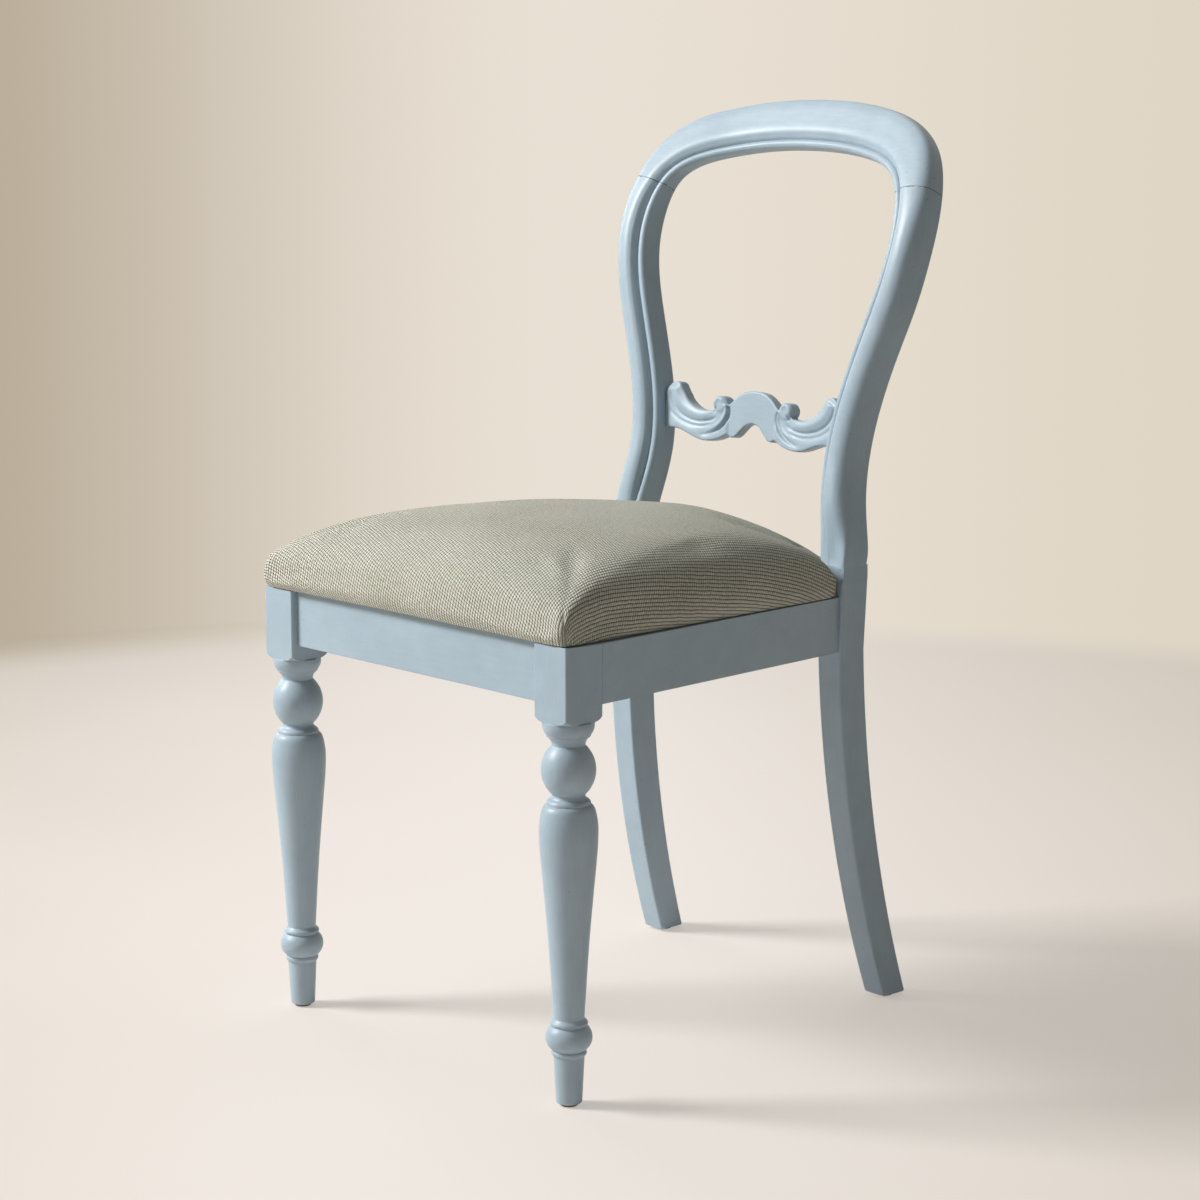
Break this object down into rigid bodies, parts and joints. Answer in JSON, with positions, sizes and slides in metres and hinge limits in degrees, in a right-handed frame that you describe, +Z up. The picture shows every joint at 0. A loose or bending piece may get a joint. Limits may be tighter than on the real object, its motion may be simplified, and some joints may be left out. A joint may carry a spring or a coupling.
{
  "type": "balloon back dining chair",
  "caption": "Balloon back dining chair with a moulded arched back, a carved mid rail, turned front legs, swept back legs and a crowned upholstered seat pad",
  "frame": {"origin": "centre of the chair's footprint box, on the floor", "axes": "+Z up, +Y from the front of the chair to its back, +X to the right of someone who faces the front of the chair"},
  "size_m": [0.44, 0.535, 0.8602],
  "materials": {
    "painted_wood": "satin paint, lightly worn",
    "bare_wood": "bare beech",
    "plywood": "bare plywood",
    "foam": "upholstery foam",
    "seat_fabric": "coarse basket weave",
    "lining_cloth": "thin black lining cloth",
    "steel": "zinc plated",
    "glide_plastic": "matte"
  },
  "bodies": {
    "root": {"front_leg_left": "painted_wood", "front_leg_right": "painted_wood", "back_post_left": "painted_wood", "back_post_right": "painted_wood", "crest_rail": "painted_wood", "carved_mid_rail": "painted_wood", "front_seat_rail": "painted_wood", "rear_seat_rail": "painted_wood", "side_seat_rail_left": "painted_wood", "side_seat_rail_right": "painted_wood", "front_corner_block_left": "bare_wood", "front_corner_block_right": "bare_wood", "rear_corner_block_left": "bare_wood", "rear_corner_block_right": "bare_wood", "front_rail_dowels": "bare_wood", "side_rail_front_dowels": "bare_wood", "side_rail_rear_dowels": "bare_wood", "rear_rail_dowels": "bare_wood", "crest_dowels": "bare_wood", "corner_block_screws": "steel", "seat_screws": "steel", "cover_staples": "steel", "seat_board": "plywood", "seat_foam": "foam", "seat_cover": "seat_fabric", "underside_lining": "lining_cloth", "foot_glides": "glide_plastic"}
  },
  "joints": []
}
